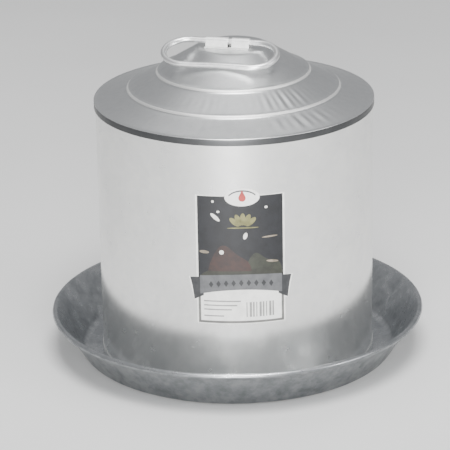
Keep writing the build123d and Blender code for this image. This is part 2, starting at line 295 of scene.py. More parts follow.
class Finishes:
    """Every finish of the fount, each made once."""

    def __init__(self) -> None:
        """Build the materials."""
        # The can's wall is the cleanest and palest sheet. The lid's pressing is duller: rougher, and
        # darker in colour as painted shade for the dim overhead that it reflects.
        self.shell = GalvanisedSheet(
            "galvanised_wall", "F4F4F2", "E0E1E1", 0.27, wear=0.4
        ).material()
        self.lid = GalvanisedSheet("galvanised_pressing_painted_shade", "E6E7E7", "C9CBCC", 0.36).material()
        # The rolled seam is painted dark grey as painted shade, so it reads as a shaded line under
        # the lid.
        self.seam = GalvanisedSheet("rolled_seam_painted_shade", "58595A", "4A4B4D", 0.40).material()
        # The pan is patchy, and inside it is darker than the wall as painted shade; outside it is
        # darker still and more matt.
        self.pan = GalvanisedSheet(
            "galvanised_pan_sheet_painted_shade", "CCCED0", "9EA1A4", 0.30, mottle_mm=16.0, wear=0.85
        ).material()
        self.pan_outside = GalvanisedSheet(
            "darker_pan_outside_sheet", "949698", "6E7173", 0.42, mottle_mm=12.0, wear=0.85
        ).material()
        # The crests are a painted highlight: near-white metal with faint stains on the shoulders.
        # Plated wire and the strap are pale metal with faint stains.
        self.crest = PlainMetal("crest_painted_highlight", "FAFAF8", "F0F0EE", 0.50).material()
        self.wire = PlainMetal("zinc_plated_wire", "FAFAF9", "E6E7E8", 0.36).material()
        self.strap = PlainMetal("bright_zinc_strap", "FBFBFA", "E4E4E2", 0.46).material()
        # Solder, brass, spring strip and rubber keep to the seams and the valve.
        self.solder = PlainMetal("tin_lead_solder", "A9AAAA", "8A8B8C", 0.48).material()
        self.brass = PlainMetal("turned_brass", "D2B067", "9B7B3E", 0.34).material()
        self.spring = PlainMetal("spring_steel_strip", "9FA1A6", "7B7D82", 0.32).material()
        self.rubber = PrintedFilm("moulded_rubber", "1C1C1C", "262524", 0.75).material()
        # The label's film is a white plastic, under the inks.
        self.film = PrintedFilm("white_label_film", "ECECE8", "DEDEDA").material()


# ------------------------------------------------------------------ mesh helpers


def finish_piece(
    mesh: bmesh.types.BMesh,
    name: str,
    material: bpy.types.Material,
    body: Body,
    slot: Slot,
    *nodes: str,
    sharp_degrees: float = 35.0,
) -> bpy.types.Object:
    """Turn a mesh drawn in millimetres into a finished piece of the fount.

    Args:
        mesh: the bmesh, in millimetres; it is freed.
        name: the piece's name.
        material: its finish.
        body: the body that it rides on.
        slot: the record's material slot that the finish belongs to; not used.
        *nodes: CAD nodes that the piece stands for.
        sharp_degrees: edges that turn by more than this stay sharp.

    Returns:
        The piece's object.
    """
    if mesh.calc_volume(signed=True) < 0:
        bmesh.ops.reverse_faces(mesh, faces=mesh.faces[:])
    bmesh.ops.scale(mesh, vec=(MM, MM, MM), verts=mesh.verts[:])
    for face in mesh.faces:
        face.smooth = True
    data = bpy.data.meshes.new(name)
    mesh.to_mesh(data)
    mesh.free()
    data.set_sharp_from_angle(angle=math.radians(sharp_degrees))
    data.materials.append(material)
    piece = bpy.data.objects.new(name, data)
    bpy.context.scene.collection.objects.link(piece)
    if nodes:
        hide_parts(*nodes)
    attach(piece, body.value)
    log.info("%s rides on %s", name, body.value)
    return piece


def dress(node: str, material: bpy.types.Material) -> None:
    """Give a CAD node that stays its finish."""
    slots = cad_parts[node].data.materials
    slots.clear()
    slots.append(material)
    log.info("%s keeps its CAD shape", node)


def round_corner(
    mesh: bmesh.types.BMesh, point: bmesh.types.BMVert, ease: float, segments: int
) -> None:
    """Ease a corner of a profile into a bend.

    Args:
        mesh: the profile.
        point: its corner.
        ease: how far along its edges the bend reaches.
        segments: how many edges the bend gets.
    """
    bmesh.ops.bevel(
        mesh, geom=[point], offset=ease, affect="VERTICES", segments=segments, profile=0.5,
        material=-1,
    )


def extrude_row(
    mesh: bmesh.types.BMesh, row: list[bmesh.types.BMEdge], reach: float
) -> list[bmesh.types.BMEdge]:
    """Extrude a row of edges along x.

    Args:
        mesh: the mesh that they belong to.
        row: the edges.
        reach: how far to go, negative to the left.

    Returns:
        The new edges.
    """
    made = bmesh.ops.extrude_edge_only(mesh, edges=row)["geom"]
    verts = [g for g in made if isinstance(g, bmesh.types.BMVert)]
    bmesh.ops.translate(mesh, vec=(reach, 0, 0), verts=verts)
    return [g for g in made if isinstance(g, bmesh.types.BMEdge)]


@dataclass(frozen=True)
class Bend:
    """A corner of a sheet's half-profile: radius, height, and how far the bend eases it."""

    r: float
    z: float
    ease: float = 0.0


@dataclass(frozen=True)
class Curl:
    """A rolled edge that goes on from the last corner of a profile."""

    r: float
    z: float
    degrees: float
    steps: int = 14


def turned_sheet(
    bends: list[Bend],
    thickness: float,
    steps: int = 256,
    curl: Curl | None = None,
    longest: float = 12.0,
) -> bmesh.types.BMesh:
    """Spin a half-profile about the can's axis and give it its sheet thickness.

    Args:
        bends: the profile's corners on the sheet's outer side, from the axis outwards.
        thickness: the sheet's thickness.
        steps: how many facets go round.
        curl: a rolled edge after the last corner.
        longest: profile edges longer than this are divided.

    Returns:
        A closed mesh in millimetres.
    """
    mesh = bmesh.new()
    points = [mesh.verts.new((bend.r, 0, bend.z)) for bend in bends]
    for first, second in zip(points, points[1:]):
        mesh.edges.new((first, second))
    if curl:
        bmesh.ops.spin(
            mesh, geom=[points[-1]], cent=(curl.r, 0, curl.z), axis=(0, 1, 0),
            angle=math.radians(curl.degrees), steps=curl.steps, use_duplicate=False,
        )
    for bend, point in zip(bends, points):
        if bend.ease:
            round_corner(mesh, point, bend.ease, segments=5)
    for edge in [e for e in mesh.edges if e.calc_length() > longest]:
        bmesh.ops.subdivide_edges(mesh, edges=[edge], cuts=int(edge.calc_length() / longest))
    bmesh.ops.spin(
        mesh, geom=mesh.verts[:] + mesh.edges[:], cent=(0, 0, 0), axis=(0, 0, 1),
        angle=FULL_TURN, steps=steps, use_merge=True, use_duplicate=False,
    )
    bmesh.ops.remove_doubles(mesh, verts=mesh.verts[:], dist=MERGE_MM)
    bmesh.ops.recalc_face_normals(mesh, faces=mesh.faces[:])
    bmesh.ops.solidify(mesh, geom=mesh.faces[:], thickness=thickness)
    return mesh


def bump_window(value: float, centre: float, width: float) -> float:
    """Smooth hump of height 1 at the centre that dies away over the width."""
    return math.exp(-((value - centre) / width) ** 2)


def cut_out(piece: bpy.types.Object, cutters: list[bmesh.types.BMesh]) -> None:
    """Cut shapes, drawn in millimetres, out of a piece and keep the result as its mesh.

    Args:
        piece: the finished piece.
        cutters: closed meshes to take away; they are freed.
    """
    helpers = []
    for cutter in cutters:
        bmesh.ops.recalc_face_normals(cutter, faces=cutter.faces[:])
        bmesh.ops.scale(cutter, vec=(MM, MM, MM), verts=cutter.verts[:])
        data = bpy.data.meshes.new("cutter")
        cutter.to_mesh(data)
        cutter.free()
        helper = bpy.data.objects.new("cutter", data)
        bpy.context.scene.collection.objects.link(helper)
        helpers.append(helper)
        cut = piece.modifiers.new("cut", "BOOLEAN")
        cut.operation = "DIFFERENCE"
        cut.solver = "EXACT"
        cut.object = helper
    shown = piece.evaluated_get(bpy.context.evaluated_depsgraph_get())
    data = bpy.data.meshes.new_from_object(shown)
    mesh = bmesh.new()
    mesh.from_mesh(data)
    bmesh.ops.remove_doubles(mesh, verts=mesh.verts[:], dist=CUT_MERGE_MM * MM)
    bmesh.ops.dissolve_degenerate(mesh, dist=CUT_MERGE_MM * MM, edges=mesh.edges[:])
    bmesh.ops.triangulate(mesh, faces=[f for f in mesh.faces if len(f.verts) > 4])
    mesh.to_mesh(data)
    mesh.free()
    piece.modifiers.clear()
    piece.data = data
    for helper in helpers:
        bpy.data.objects.remove(helper)


# ------------------------------------------------------------------ sub-assemblies


@dataclass
class DrinkingPan:
    """The flared pan with its rolled rim."""

    sheet: float = 0.6
    panel_r: float = 96.0
    panel_top: float = 4.1
    ramp: float = 4.0
    base_r: float = 133.4
    wall_top: tuple[float, float] = (156.0, 37.2)
    curl_centre: tuple[float, float] = (158.0, 36.0)
    curl_degrees: float = 300.0
    panel_bend: float = 1.2
    corner_bend: float = 4.0
    rim_sway: float = 0.35

    def build(self, finishes: Finishes) -> None:
        """Make the pan and dress the wire in its rim."""
        curl = Curl(*self.curl_centre, self.curl_degrees)
        mesh = turned_sheet(
            [
                Bend(0, self.panel_top),
                Bend(self.panel_r, self.panel_top, self.panel_bend),
                Bend(self.panel_r + self.ramp, self.sheet, self.panel_bend),
                Bend(self.base_r, self.sheet, self.corner_bend),
                Bend(*self.wall_top),
            ],
            self.sheet,
            curl=curl,
        )
        self._sway(mesh)
        for face in mesh.faces:
            middle = face.calc_center_median()
            outward = face.normal.x * middle.x + face.normal.y * middle.y
            if outward > 0 and middle.z < self.wall_top[1] - self.sheet:
                face.material_index = SECOND_FINISH
        pan = finish_piece(mesh, "drinking_pan", finishes.pan, Body.BASE, Slot.PAN, "pan")
        pan.data.materials.append(finishes.pan_outside)
        dress("pan_rim_wire", finishes.wire)

    def _sway(self, mesh: bmesh.types.BMesh) -> None:
        """Let the thin rim wander a little, as a light pan's does."""
        largest = 2.5           # the most that 1 + sway comes to
        for vert in mesh.verts:
            around = math.atan2(vert.co.y, vert.co.x)
            lift = max(0.0, vert.co.z / self.curl_centre[1])
            sway = math.sin(2 * around + 0.7) + 0.5 * math.sin(5 * around)
            vert.co.z -= self.rim_sway * lift * (1 + sway) / largest


@dataclass
class InnerTank:
    """The water tank that stands in the pan, with its flanged bottom and rolled top bead."""

    sheet: float = 0.6
    outer_r: float = 111.6
    foot: float = 0.6
    bead_r: float = 1.9
    bead_z: float = 201.1
    bead_degrees: float = 290.0
    floor: float = 4.7
    floor_gap: float = 0.1
    floor_bend: float = 1.6
    flange_top: float = 18.1
    port_z: float = 11.0
    port_radii: tuple[float, float] = (4.0, 4.1)    # through the wall, and the bottom's flange
    port_reach: float = 8.0

    def build(self, finishes: Finishes) -> None:
        """Make the wall and bottom and dress the solder and lock pins."""
        wall = turned_sheet(
            [Bend(self.outer_r, self.foot), Bend(self.outer_r, self.bead_z)],
            self.sheet,
            curl=Curl(self.outer_r + self.bead_r - self.sheet, self.bead_z, self.bead_degrees),
            longest=30.0,
        )
        wall_piece = finish_piece(
            wall, "tank_side", finishes.pan, Body.BASE, Slot.PAN, "tank_wall"
        )
        bottom_r = self.outer_r - 2 * self.sheet - self.floor_gap
        bottom = turned_sheet(
            [
                Bend(0, self.floor),
                Bend(bottom_r, self.floor, self.floor_bend),
                Bend(bottom_r, self.flange_top),
            ],
            self.sheet,
        )
        bottom_piece = finish_piece(
            bottom, "tank_floor", finishes.pan, Body.BASE, Slot.PAN, "tank_bottom"
        )
        for piece, radius in zip((wall_piece, bottom_piece), self.port_radii):
            cut_out(piece, [self._port(radius)])
        dress("foot_solder", finishes.solder)
        dress("tank_seam_solder", finishes.solder)
        dress("lock_pins", finishes.wire)

    def _port(self, radius: float) -> bmesh.types.BMesh:
        """Cutter for the outlet port, at the back.

        Args:
            radius: the port's.

        Returns:
            A cylinder in millimetres.
        """
        cutter = bmesh.new()
        place = Matrix.Translation((0, self.outer_r, self.port_z))
        bmesh.ops.create_cone(
            cutter, cap_ends=True, segments=48, radius1=radius, radius2=radius,
            depth=self.port_reach, matrix=place @ Matrix.Rotation(math.pi / 2, 4, "X"),
        )
        return cutter


@dataclass
class OuterShell:
    """The plain cylinder that comes down over the tank."""

    sheet: float = 0.6
    radius: float = 117.0
    foot: float = 1.0
    top: float = 224.4
    hem: float = 5.0
    pin_angles: tuple[float, ...] = (30, 150, 270)
    pin_height: float = 12.0
    slot_width: float = 7.5
    slot_run: float = 16.0
    notch: tuple[float, float] = (24.0, 28.0)
    notch_angle: float = 90.0
    cut_foot: float = -2.0
    cut_reach: float = 10.0

    def build(self, finishes: Finishes) -> None:
        """Make the wall with its hem, bayonet slots and valve notch."""
        wall = turned_sheet(
            [Bend(self.radius, self.foot), Bend(self.radius, self.top)], self.sheet, longest=20.0
        )
        hem = turned_sheet(
            [
                Bend(self.radius + self.sheet, self.foot),
                Bend(self.radius + self.sheet, self.foot + self.hem),
            ],
            self.sheet,
        )
        wall_piece = finish_piece(
            wall, "shell_side", finishes.shell, Body.SHELL, Slot.SHELL, "shell_wall"
        )
        hem_piece = finish_piece(hem, "shell_hem", finishes.shell, Body.SHELL, Slot.SHELL)
        for piece in (wall_piece, hem_piece):
            cut_out(piece, self._openings())
        dress("shell_seam_solder", finishes.solder)

    def _openings(self) -> list[bmesh.types.BMesh]:
        """Cutters for the lock slots and the notch over the valve."""
        low = self.pin_height - self.slot_width / 2
        high = self.pin_height + self.slot_width / 2
        run = self.slot_run / 2 + self.slot_width
        cutters = []
        for angle in self.pin_angles:
            cutters.append(self._box(angle, 0, self.slot_width, self.cut_foot, high))
            cutters.append(self._box(angle, self.slot_run / 4, run, low, high))
        cutters.append(
            self._box(self.notch_angle, 0, self.notch[0], self.cut_foot, self.notch[1])
        )
        return cutters

    def _box(
        self, angle: float, across: float, width: float, low: float, high: float
    ) -> bmesh.types.BMesh:
        """One upright box through the wall.

        Args:
            angle: degrees round from +X.
            across: how far its middle is to one side of that angle.
            width: its width round the wall.
            low: height of its foot.
            high: height of its top.

        Returns:
            The box in millimetres.
        """
        cutter = bmesh.new()
        turn = Matrix.Rotation(math.radians(angle), 4, "Z")
        place = Matrix.Translation((self.radius, across, (low + high) / 2))
        size = Matrix.Diagonal((self.cut_reach, width, high - low, 1))
        bmesh.ops.create_cube(cutter, size=1, matrix=turn @ place @ size)
        return cutter


@dataclass
class SteppedLid:
    """The pressed cone lid, with two shoulders and the seam that holds it on the shell."""

    sheet: float = 0.6
    plateau_r: float = 29.5
    plateau_top: float = 269.7
    rings: tuple[tuple[float, float], ...] = ((64.4, 249.7), (89.3, 235.9))
    flat: float = 3.0
    drop: float = 2.4
    band_r: float = 118.2
    band_top: float = 225.6
    band_foot: float = 219.8
    band_inset: float = 2.6
    seam_top: float = 224.4
    plateau_bend: float = 2.4
    shoulder_bend: float = 0.9
    foot_bend: float = 0.8
    edge_bend: float = 0.5
    crest_in: float = 0.5
    crest_out: float = 0.9
    pucker: float = 0.34
    pucker_count: float = 76.0
    pucker_centre: float = -58.0
    pucker_spread: float = 15.0
    echo: float = 0.22
    echo_turn: float = 42.0
    echo_spread: float = 14.0
    calm: float = 0.05

    def build(self, finishes: Finishes) -> None:
        """Make the pressing and dress the sealing compound."""
        bends = [Bend(0, self.plateau_top), Bend(self.plateau_r, self.plateau_top, self.plateau_bend)]
        for radius, top in self.rings:
            bends.append(Bend(radius - self.flat, top + self.flat / 4, self.shoulder_bend))
            bends.append(Bend(radius, top, self.shoulder_bend))
            bends.append(Bend(radius + self.drop / 2, top - self.drop, self.foot_bend))
        bends.append(Bend(self.band_r - self.band_inset, self.band_top, self.foot_bend))
        bends.append(Bend(self.band_r, self.band_top, self.edge_bend))
        bends.append(Bend(self.band_r, self.band_foot))
        mesh = turned_sheet(bends, self.sheet, steps=360, longest=4.0)
        self._wrinkle(mesh)
        self._mark_finishes(mesh)
        lid = finish_piece(mesh, "lid_pressing", finishes.lid, Body.SHELL, Slot.LID, "shell_lid")
        # The seam's dark finish is painted shade.
        lid.data.materials.append(finishes.seam)
        # The shoulders' near-white crests are a painted highlight.
        lid.data.materials.append(finishes.crest)
        seam_r = self.band_r - self.sheet
        seam = turned_sheet(
            [Bend(seam_r, self.band_foot), Bend(seam_r, self.seam_top)], self.sheet
        )
        finish_piece(seam, "lid_seam_fold", finishes.lid, Body.SHELL, Slot.LID)
        dress("seam_sealant", finishes.rubber)

    def _mark_finishes(self, mesh: bmesh.types.BMesh) -> None:
        """Give the rolled seam its dark painted shade and the shoulders' crests a near-white painted
        highlight.
        """
        for face in mesh.faces:
            middle = face.calc_center_median()
            # The band below the lid's top edge gets the dark finish: painted shade.
            if middle.z < self.band_top - self.sheet:
                face.material_index = SECOND_FINISH
            # The shoulders' crests get the near-white finish, a painted highlight.
            for radius, _ in self.rings:
                if -self.crest_in < math.hypot(middle.x, middle.y) - radius < self.crest_out:
                    face.material_index = THIRD_FINISH

    def _wrinkle(self, mesh: bmesh.types.BMesh) -> None:
        """Press faint radial puckers into the two sloping bands, most of them to one side."""
        inner, outer = self.rings[0][0], self.rings[1][0]
        bands = (               # middle radius and spread of the inner and the outer band
            ((inner + outer) / 2 + 1, (outer - inner) / 3.2),
            ((outer + self.band_r) / 2 - 2, 7.0),
        )
        for vert in mesh.verts:
            radius = math.hypot(vert.co.x, vert.co.y)
            degrees = math.degrees(math.atan2(vert.co.y, vert.co.x))
            side = bump_window(degrees, self.pucker_centre, self.pucker_spread)
            side += self.echo * bump_window(
                degrees, self.pucker_centre - self.echo_turn, self.echo_spread
            )
            # Two waves out of step, so the puckers differ.
            wave = math.sin(math.radians(degrees) * self.pucker_count)
            wave += 0.6 * math.sin(math.radians(degrees) * self.pucker_count * 0.61 + 1.3)
            depth = sum(bump_window(radius, centre, spread) for centre, spread in bands)
            vert.co.z += self.pucker * (self.calm + side) * wave * depth


@dataclass
class HingeStrap:
    """The strap on the lid, folded over the handle in two saddles."""

    hinge: tuple[float, float, float] = (-4.0, -6.5, 274.8)
    yaw: float = -15.0
    sheet: float = 0.9
    saddle_r: float = 2.55
    foot: float = 269.75
    dent: float = 0.03
    flange: float = 5.0
    left: float = -18.7
    right: float = 18.7
    slit: tuple[float, float] = (0.3, 3.7)
    slit_foot: float = 0.6
    left_rows: tuple[float, ...] = (-12.4, -6.0)
    right_rows: tuple[float, ...] = (9.0, 14.0)
    bend: float = 1.0
    worn: float = 0.22

    def frame_matrix(self) -> Matrix:
        """Place of the hinge: x along the wire, y to the back."""
        return Matrix.Translation(self.hinge) @ Matrix.Rotation(math.radians(self.yaw), 4, "Z")

    def build(self, finishes: Finishes) -> None:
        """Fold the strap and part its saddles."""
        mesh = bmesh.new()
        foot = self.foot - self.hinge[2]
        self._fold(mesh, foot)
        row = mesh.edges[:]
        here = self.left
        for station in (*self.left_rows, *self.slit, *self.right_rows, self.right):
            row = extrude_row(mesh, row, station - here)
            here = station
        self._part(mesh, foot)
        bmesh.ops.remove_doubles(mesh, verts=mesh.verts[:], dist=MERGE_MM)
        bmesh.ops.recalc_face_normals(mesh, faces=mesh.faces[:])
        bmesh.ops.solidify(mesh, geom=mesh.faces[:], thickness=self.sheet)
        self._knock(mesh)
        bmesh.ops.transform(mesh, matrix=self.frame_matrix(), verts=mesh.verts[:])
        piece = finish_piece(
            mesh, "folded_strap", finishes.strap, Body.SHELL, Slot.WIRE, "hinge_strap"
        )
        soften = piece.modifiers.new("worn edges", "BEVEL")
        soften.width = self.worn * MM
        soften.segments = 3
        soften.limit_method = "ANGLE"

    def _fold(self, mesh: bmesh.types.BMesh, foot: float) -> None:
        """Draw the strap's folded outline at its left end.

        Args:
            mesh: an empty mesh.
            foot: height of the strap's foot from the hinge.
        """
        outline = [
            (-self.saddle_r - self.flange, foot), (-self.saddle_r, foot), (-self.saddle_r, 0),
        ]
        points = [mesh.verts.new((self.left, y, z)) for y, z in outline]
        for first, second in zip(points, points[1:]):
            mesh.edges.new((first, second))
        bmesh.ops.spin(
            mesh, geom=[points[-1]], cent=(self.left, 0, 0), axis=(1, 0, 0), angle=-math.pi,
            steps=12, use_duplicate=False,
        )
        mesh.verts.ensure_lookup_table()
        end = Vector((self.left, self.saddle_r, 0))
        last = min(mesh.verts, key=lambda vert: (vert.co - end).length)
        leg = mesh.verts.new((self.left, self.saddle_r, foot))
        tip = mesh.verts.new((self.left, self.saddle_r + self.flange, foot))
        mesh.edges.new((last, leg))
        mesh.edges.new((leg, tip))
        for corner in (points[1], leg):
            round_corner(mesh, corner, self.bend, segments=4)

    def _part(self, mesh: bmesh.types.BMesh, foot: float) -> None:
        """Open the slit between the saddles, down to the flanges.

        Args:
            mesh: the strap, still without thickness.
            foot: height of the strap's foot from the hinge.
        """
        middle = sum(self.slit) / 2
        near = 0.5
        slit_faces = [
            face for face in mesh.faces
            if abs(face.calc_center_median().x - middle) < near
            and face.calc_center_median().z > foot + self.slit_foot
        ]
        bmesh.ops.delete(mesh, geom=slit_faces, context="FACES")

    def _knock(self, mesh: bmesh.types.BMesh) -> None:
        """Give the hammered saddles a slight unevenness."""
        for vert in mesh.verts:
            if vert.co.z > 0:
                vert.co.z -= self.dent * (1 + math.sin(0.7 * vert.co.x + 0.8))
                vert.co.y += self.dent * math.sin(0.9 * vert.co.x)


@dataclass
class WireHandle:
    """The closed loop of plated wire."""

    strap: HingeStrap
    wire_r: float = 2.5
    width: float = 96.0
    depth: float = 38.5
    shift: float = -2.2
    droop: float = 15.5
    butt: float = 0.4
    wander: float = 0.35
    wander_up: float = 11.0
    wander_across: float = 17.0
    facets: int = 24

    def build(self, finishes: Finishes) -> None:
        """Bend the wire round its loop."""
        mesh = bmesh.new()
        end_r = self.depth / 2
        half = self.width / 2 - end_r
        stand = Matrix.Translation((self.butt / 2, 0, 0)) @ Matrix.Rotation(math.pi / 2, 4, "Y")
        bmesh.ops.create_circle(
            mesh, cap_ends=False, segments=self.facets, radius=self.wire_r, matrix=stand
        )
        first_ring = mesh.edges[:]
        ring = self._run(mesh, first_ring, half - self.butt / 2, 10)
        ring = self._turn(mesh, ring, (half, -end_r, 0))
        ring = self._run(mesh, ring, -2 * half, 20)
        ring = self._turn(mesh, ring, (-half, -end_r, 0))
        ring = self._run(mesh, ring, half - self.butt / 2, 10)
        for rim in (first_ring, ring):
            bmesh.ops.edgeloop_fill(mesh, edges=rim)
        bmesh.ops.recalc_face_normals(mesh, faces=mesh.faces[:])
        for vert in mesh.verts:
            away = min(1.0, abs(vert.co.y) / end_r)
            vert.co.z += self.wander * away * math.sin(vert.co.x / self.wander_up + 0.6)
            vert.co.y += 0.6 * self.wander * away * math.sin(vert.co.x / self.wander_across)
        tilt = Matrix.Rotation(math.radians(self.droop), 4, "X")
        slide = Matrix.Translation((self.shift, 0, 0))
        place = self.strap.frame_matrix() @ slide @ tilt
        bmesh.ops.transform(mesh, matrix=place, verts=mesh.verts[:])
        finish_piece(
            mesh, "wire_loop", finishes.wire, Body.HANDLE, Slot.WIRE, "handle_bail",
            sharp_degrees=60.0,
        )

    @staticmethod
    def _run(mesh: bmesh.types.BMesh, ring: list, length: float, steps: int) -> list:
        """Carry the ring straight along x.

        Args:
            mesh: the wire so far.
            ring: edges of its open end.
            length: how far to go, negative to the left.
            steps: how many stations on the way.

        Returns:
            The edges of the new open end.
        """
        for _ in range(steps):
            ring = extrude_row(mesh, ring, length / steps)
        return ring

    @staticmethod
    def _turn(mesh: bmesh.types.BMesh, ring: list, centre: tuple[float, float, float]) -> list:
        """Carry the ring half way round a centre, clockwise from above.

        Args:
            mesh: the wire so far.
            ring: edges of its open end.
            centre: what it turns round.

        Returns:
            The edges of the new open end.
        """
        made = bmesh.ops.spin(
            mesh, geom=ring, cent=centre, axis=(0, 0, 1), angle=-math.pi, steps=32,
            use_duplicate=False,
        )["geom_last"]
        return [g for g in made if isinstance(g, bmesh.types.BMEdge)]


@dataclass(frozen=True)
class Ink:
    """One flat area of print: its colour pair and the layer it is laid in."""

    name: str
    colour: str
    shade: str
    layer: int


@dataclass
class PrintedLabel:
    """The film label, with a generic evening hillside, a plain ribbon and a panel of bars.

    The numbers in its drawing methods are places on the label laid flat, in millimetres:
    x from its middle and z up from the ground.
    """

    shell_r: float = 117.0
    yaw: float = 1.7
    film_top: float = 0.23
    ink: float = 0.02
    ink_share: float = 0.8
    slice_mm: float = 2.5
    slices: int = 17

    def build(self, finishes: Finishes) -> None:
        """Dress the film and lay the print on it."""
        dress("label", finishes.film)
        self._print(Ink("label_sky", "1D1E22", "16171A", 1), self._block(-35.2, 106, 35.2, 176.8))
        self._print(
            Ink("label_far_hill", "33352C", "272923", 2), self._hill(2, 35, 108, 131, 1.2)
        )
        self._print(
            Ink("label_dark_hill", "2F3029", "262721", 3), self._hill(-35, 35, 106, 118, 1.4)
        )
        self._print(
            Ink("label_rust_hill", "382622", "292120", 4), self._hill(-27, 9, 112, 137, 1.0)
        )
        self._print(Ink("label_path", "8F8474", "6B6254", 5), self._streaks())
        self._print(Ink("label_leaves", "7E7B4E", "66643C", 5), self._leaves())
        self._print(Ink("label_stars", "E9E9E2", "CFCFC8", 6), self._stars())
        self._print(
            Ink("label_panel_edge", "6C6C69", "5E5E5C", 1), self._block(-35.6, 66.2, 35.6, 92)
        )
        self._print(Ink("label_panel", "EFEFEB", "E2E2DE", 2), self._block(-33.6, 68.2, 33.6, 92))
        self._print(Ink("label_bars", "8F8F8D", "7D7D7B", 3), self._bars())
        self._print(Ink("label_ribbon_tails", "38393B", "2E2F31", 3), self._tails())
        self._print(Ink("label_ribbon", "5F6062", "515255", 4), self._ribbon())
        self._print(Ink("label_ribbon_studs", "2E2F31", "262729", 5), self._studs())
        self._print(
            Ink("label_badge", "F6F6F3", "ECECE8", 3), self._oval(1.7, 175.9, 14.3, 7.7)
        )
        self._print(Ink("label_badge_arc", "3A3A3E", "333338", 4), self._arc())
        self._print(Ink("label_drop", "B4403B", "9C332F", 5), self._drop(1.7, 175.2, 3.0))

    def _print(self, ink: Ink, flat: bmesh.types.BMesh) -> None:
        """Wrap a flat area round the shell and finish it as a piece.

        Args:
            ink: its colours and layer.
            flat: the area as faces in the xz plane, in label millimetres.
        """
        for number in range(-self.slices, self.slices + 1):
            bmesh.ops.bisect_plane(
                flat, geom=flat.verts[:] + flat.edges[:] + flat.faces[:],
                plane_co=(number * self.slice_mm, 0, 0), plane_no=(1, 0, 0), dist=1e-5,
            )
        radius = self.shell_r + self.film_top + ink.layer * self.ink
        for vert in flat.verts:
            turn = vert.co.x / radius + math.radians(self.yaw)
            vert.co.x = radius * math.sin(turn)
            vert.co.y = -radius * math.cos(turn)
        for face in flat.faces:
            face.normal_update()
            if face.normal.y > 0:
                face.normal_flip()
        bmesh.ops.solidify(flat, geom=flat.faces[:], thickness=self.ink * self.ink_share)
        material = PrintedFilm(f"{ink.name}_ink", ink.colour, ink.shade).material()
        finish_piece(flat, ink.name, material, Body.SHELL, Slot.LABEL)

    @staticmethod
    def _area(
        corners: list[tuple[float, float]], mesh: bmesh.types.BMesh | None = None
    ) -> bmesh.types.BMesh:
        """A flat face.

        Args:
            corners: its x and z at each corner.
            mesh: the mesh that it is added to, or None for a new one.

        Returns:
            The mesh.
        """
        mesh = mesh or bmesh.new()
        mesh.faces.new([mesh.verts.new((x, 0, z)) for x, z in corners])
        return mesh

    def _block(self, left: float, foot: float, right: float, top: float) -> bmesh.types.BMesh:
        """A rectangle."""
        return self._area([(left, foot), (right, foot), (right, top), (left, top)])

    def _hill(
        self, left: float, right: float, foot: float, top: float, humps: float
    ) -> bmesh.types.BMesh:
        """A mound with a rolling top, from a flat foot.

        Args:
            left: x of its left end.
            right: x of its right end.
            foot: z of its flat foot.
            top: the most that its z comes to.
            humps: how many waves its top has.

        Returns:
            The mound in a new mesh.
        """
        steps = 24
        corners = [(right, foot), (left, foot)]
        for number in range(steps + 1):
            share = number / steps
            rise = math.sin(math.pi * share) ** 0.6
            rise *= 0.8 + 0.2 * math.sin(2 * math.pi * humps * share)
            corners.append((left + (right - left) * share, foot + 0.1 + (top - foot) * rise))
        return self._area(corners)

    @staticmethod
    def _oval(
        x: float,
        z: float,
        wide: float,
        high: float,
        mesh: bmesh.types.BMesh | None = None,
        lean: float = 0.0,
    ) -> bmesh.types.BMesh:
        """A filled oval.

        Args:
            x: its middle's x.
            z: its middle's z.
            wide: half its width.
            high: half its height.
            mesh: the mesh that it is added to, or None for a new one.
            lean: degrees that it is turned by in the label's plane.

        Returns:
            The mesh.
        """
        mesh = mesh or bmesh.new()
        stand = Matrix.Rotation(math.pi / 2, 4, "X")
        size = Matrix.Diagonal((wide, 1, high, 1))
        turn = Matrix.Rotation(math.radians(lean), 4, "Y")
        place = Matrix.Translation((x, 0, z))
        bmesh.ops.create_circle(
            mesh, cap_ends=True, segments=32, radius=1, matrix=place @ turn @ size @ stand
        )
        return mesh

    def _streaks(self) -> bmesh.types.BMesh:
        """Pale lines of light along the hills."""
        mesh = self._oval(-30.0, 128.5, 4.0, 1.3, lean=4)
        self._oval(24.0, 141.0, 6.5, 0.7, mesh, lean=-3)
        return self._oval(26.0, 119.5, 5.0, 1.0, mesh, lean=6)

    def _leaves(self) -> bmesh.types.BMesh:
        """A fan of leaves in the sky, on one stem."""
        mesh = self._oval(2.0, 149.6, 13.0, 0.6)
        for number in range(-2, 3):
            lean = 24 * number
            x = 2.0 + 9.0 * math.sin(math.radians(lean))
            z = 150.0 + 7.0 * math.cos(math.radians(lean))
            self._oval(x, z, 2.2, 5.2, mesh, lean=lean)
        return mesh

    def _stars(self) -> bmesh.types.BMesh:
        """Soft round stars and a low moon."""
        mesh = self._oval(-15.7, 128.5, 1.9, 1.9)
        self._oval(-22.3, 172.3, 1.1, 1.1, mesh)
        self._oval(21.2, 166.6, 1.3, 1.1, mesh)
        self._oval(3.9, 142.5, 1.6, 3.0, mesh, lean=18)
        self._oval(-18.0, 163.6, 1.3, 1.0, mesh)
        self._oval(-20.5, 158.8, 1.6, 4.8, mesh, lean=-48)
        return mesh

    def _bars(self) -> bmesh.types.BMesh:
        """Plain horizontal and upright bars, with no lettering."""
        mesh = bmesh.new()
        for z, right in ((85.0, -0.5), (81.3, -3.5), (77.6, -8.0), (72.0, -14.5)):
            self._area([(-31, z), (right, z), (right, z + 1.1), (-31, z + 1.1)], mesh)
        for number in range(9):
            left = 4.0 + 2.7 * number
            wide = 0.8 + 0.5 * ((number * 5) % 3)
            self._area([(left, 71.5), (left + wide, 71.5), (left + wide, 84.5), (left, 84.5)], mesh)
        return mesh

